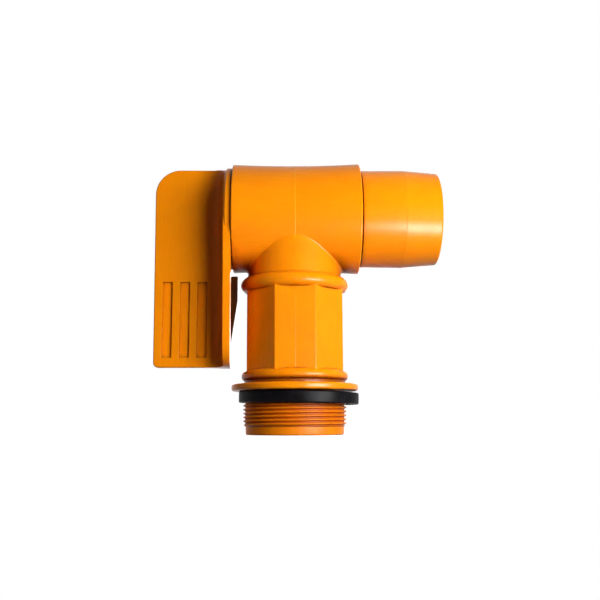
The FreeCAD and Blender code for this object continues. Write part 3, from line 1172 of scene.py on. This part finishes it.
@dataclass
class Studio:
    """Pale floor, soft lamps, white surround and the camera."""

    floor_height: float = -18.45
    floor_reach: float = 4000.0
    shadow_near: float = 70.0
    shadow_far: float = 220.0
    board_grey: float = 0.8
    board_glow: float = 0.8
    camera_place: tuple[float, float, float] = (-6.73, -459.4, -11.61)
    camera_right: tuple[float, float, float] = (0.99976957, -0.02123335, -0.00315598)
    camera_up: tuple[float, float, float] = (-0.00017449, -0.15505154, 0.98790637)
    lens: float = 46.986
    sensor: float = 36.0
    clip_start: float = 10.0
    fill: float = 0.03
    backdrop_glow: float = 1.0
    lamp_aim: tuple[float, float, float] = (0.0, 0.0, 75.0)
    # The near strip alone makes the streak along spout and tube, so the key stays out of the gloss.
    lamps: tuple[Lamp, ...] = (
        Lamp("key_softbox", (242, -324, 100), width=0.3, tall=0.17, watts=2.6),
        Lamp("near_strip", (118, -150, 15), width=0.11, tall=0.055, watts=1.75, use=LampUse.GLOSS),
        Lamp("back_softbox", (20, 800, 250), width=0.5, tall=0.4, watts=4.2, use=LampUse.BOTH),
        Lamp("left_back_softbox", (-700, 560, 230), width=0.4, tall=0.4, watts=2.6),
    )

    def camera(self) -> None:
        """Place the camera where the photograph was taken from."""
        data = bpy.data.cameras.new("photo_camera")
        data.lens = self.lens
        data.sensor_width = self.sensor
        data.clip_start = self.clip_start * MM
        camera = bpy.data.objects.new("photo_camera", data)
        right, up = Vector(self.camera_right), Vector(self.camera_up)
        back = right.cross(up)
        turn = Matrix((right, up, back)).transposed().to_4x4()
        camera.matrix_world = Matrix.Translation(Vector(self.camera_place) * MM) @ turn
        bpy.context.scene.collection.objects.link(camera)
        bpy.context.scene.camera = camera

    def light(self) -> None:
        """Hang the lamps, each turned towards the tap."""
        for lamp in self.lamps:
            data = bpy.data.lights.new(lamp.name, "AREA")
            data.shape = "RECTANGLE"
            data.size = lamp.width
            data.size_y = lamp.tall
            data.energy = lamp.watts
            piece = bpy.data.objects.new(lamp.name, data)
            piece.location = Vector(lamp.place) * MM
            way = piece.location - Vector(self.lamp_aim) * MM
            piece.rotation_euler = way.to_track_quat("Z", "Y").to_euler()
            piece.visible_camera = False
            piece.visible_diffuse, piece.visible_glossy = lamp.use.value
            bpy.context.scene.collection.objects.link(piece)

    def _seen(self, tree: bpy.types.NodeTree) -> bpy.types.NodeSocket:
        """Tell the rays that see the background from those that only carry light.

        Args:
            tree: Node tree that takes the nodes.

        Returns:
            Socket with one for camera, glossy and transmission rays, and else none.
        """
        path = add_node(tree, "ShaderNodeLightPath").outputs
        mirrored = calculate(tree, "MAXIMUM", path["Is Glossy Ray"], path["Is Transmission Ray"])
        return calculate(tree, "MAXIMUM", path["Is Camera Ray"], mirrored)

    def surround(self) -> None:
        """Make the world white where it is seen or mirrored, and dim as a light."""
        world = bpy.data.worlds.new("studio")
        bpy.context.scene.world = world
        world.use_nodes = True
        tree = world.node_tree
        tree.nodes.clear()
        strength = add_node(tree, "ShaderNodeMix", {"data_type": "FLOAT"}, {
            0: self._seen(tree), 2: self.fill, 3: self.backdrop_glow,
        }).outputs[0]
        glow = add_node(tree, "ShaderNodeBackground", {}, {
            "Color": WHITE, "Strength": strength,
        }).outputs[0]
        add_node(tree, "ShaderNodeOutputWorld", {}, {"Surface": glow})

    def floor(self) -> None:
        """Lay the pale floor, white to the camera but for the tap's soft shadow."""
        mesh = bmesh.new()
        reach = self.floor_reach / 2 * MM
        corners = [
            mesh.verts.new((x * reach, y * reach, self.floor_height * MM))
            for x, y in ((-1, -1), (1, -1), (1, 1), (-1, 1))
        ]
        mesh.faces.new(corners)
        piece = mesh_object("studio_floor", mesh)
        material, tree = new_material("pale_painted_board")
        place = add_node(tree, "ShaderNodeTexCoord").outputs["Object"]
        distance = add_node(
            tree, "ShaderNodeVectorMath", {"operation": "LENGTH"}, {0: place}
        ).outputs["Value"]
        near = ramp(tree, distance, (self.shadow_near * MM, self.shadow_far * MM), (1.0, 0.0))
        grey = (self.board_grey, self.board_grey, self.board_grey, 1.0)
        board = add_node(tree, "ShaderNodeBsdfDiffuse", {}, {"Color": grey}).outputs[0]
        white = add_node(tree, "ShaderNodeEmission", {}, {
            "Color": WHITE, "Strength": self.backdrop_glow,
        }).outputs[0]
        faint = add_node(tree, "ShaderNodeEmission", {}, {
            "Color": WHITE, "Strength": self.board_glow,
        }).outputs[0]
        shaded = add_node(tree, "ShaderNodeAddShader", {}, {0: board, 1: faint}).outputs[0]
        shown = add_node(tree, "ShaderNodeMixShader", {}, {
            0: near, 1: white, 2: shaded,
        }).outputs[0]
        mixed = add_node(tree, "ShaderNodeMixShader", {}, {
            0: self._seen(tree), 1: board, 2: shown,
        }).outputs[0]
        add_node(tree, "ShaderNodeOutputMaterial", {}, {"Surface": mixed})
        piece.data.materials.append(material)
        piece.visible_diffuse = False

    def build(self) -> None:
        """Set up everything round the tap."""
        self.floor()
        self.light()
        self.surround()
        self.camera()
        bpy.context.scene.view_settings.view_transform = "Standard"


def main() -> None:
    """Build the tap's looks piece by piece."""
    logging.basicConfig(level=logging.INFO, format="%(name)s: %(message)s")
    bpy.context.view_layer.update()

    body_finish = MouldedPolypropylene("polypropylene_body_moulding", DrawWay.UP_NECK).material()
    plug_finish = MouldedPolypropylene("polypropylene_plug_moulding", DrawWay.ALONG_PLUG).material()
    # Painted light: the lever's orange is a paler copy of the body's, making up for less light on
    # the grip. Its recesses get a short painted shade.
    lever_finish = MouldedLever(
        "polypropylene_lever_moulding", DrawWay.UP_NECK, upper_draw=DrawWay.UP_NECK,
        colour="#FF9204", swirl_colour="#FA8A02", painted_shade_colour="#2E1002", painted_shade_reach_mm=3.0,
        painted_shade_share=0.6,
    ).material()
    gasket_finish = MouldedRubber("epdm_rubber_gasket").material()
    seal_finish = MouldedRubber("nitrile_rubber_seal", roughness=0.34).material()
    # Painted shade: the thread and pilot get a darker copy of the moulding's orange.
    thread_finish = MouldedThread(
        "polypropylene_moulded_thread", DrawWay.UP_NECK, colour="#EA8004",
        swirl_colour="#E47802", drag_line_mm=5.0, ripple_mm=12.0, edge_mm=0.03, roughness=0.4,
        painted_shade_share=0.7, painted_shade_colour="#8A2E04", glow_depth_mm=0.15,
    ).material()
    # Painted highlight: the raised line on the tube is coloured paler than the moulding, where it
    # catches the light.
    tube_line_painted_highlight = MouldedPolypropylene(
        "polypropylene_flash_line_painted_highlight", DrawWay.UP_NECK, colour="#FFA41E", swirl_colour="#FF9E18",
        painted_shade_share=0.0, edge_mm=0.05, roughness=0.35,
    ).material()

    neck_line_finish = MouldedPolypropylene(
        "polypropylene_neck_line", DrawWay.UP_NECK, edge_mm=0.02,
    ).material()

    moulding = BodyMoulding()
    moulding.finish(moulding.build(), body_finish, tube_line_painted_highlight, neck_line_finish)
    LOG.info("fixed moulding and its witness lines built")

    end = ThreadedEnd()
    end.finish(end.build(), thread_finish)
    LOG.info("threaded end built")

    gasket = FlangeGasket()
    gasket.finish(gasket.build(), gasket_finish)
    LOG.info("gasket built")

    plug = SpoutPlug()
    plug.finish(plug.build(), plug_finish)
    LOG.info("plug and spout dressed")

    LeverHandle().finish(lever_finish)
    LOG.info("handle dressed")

    InnerSeals().finish(seal_finish)
    LOG.info("seals dressed")

    Studio().build()
    LOG.info("studio set")


if __name__ == "__main__":
    main()
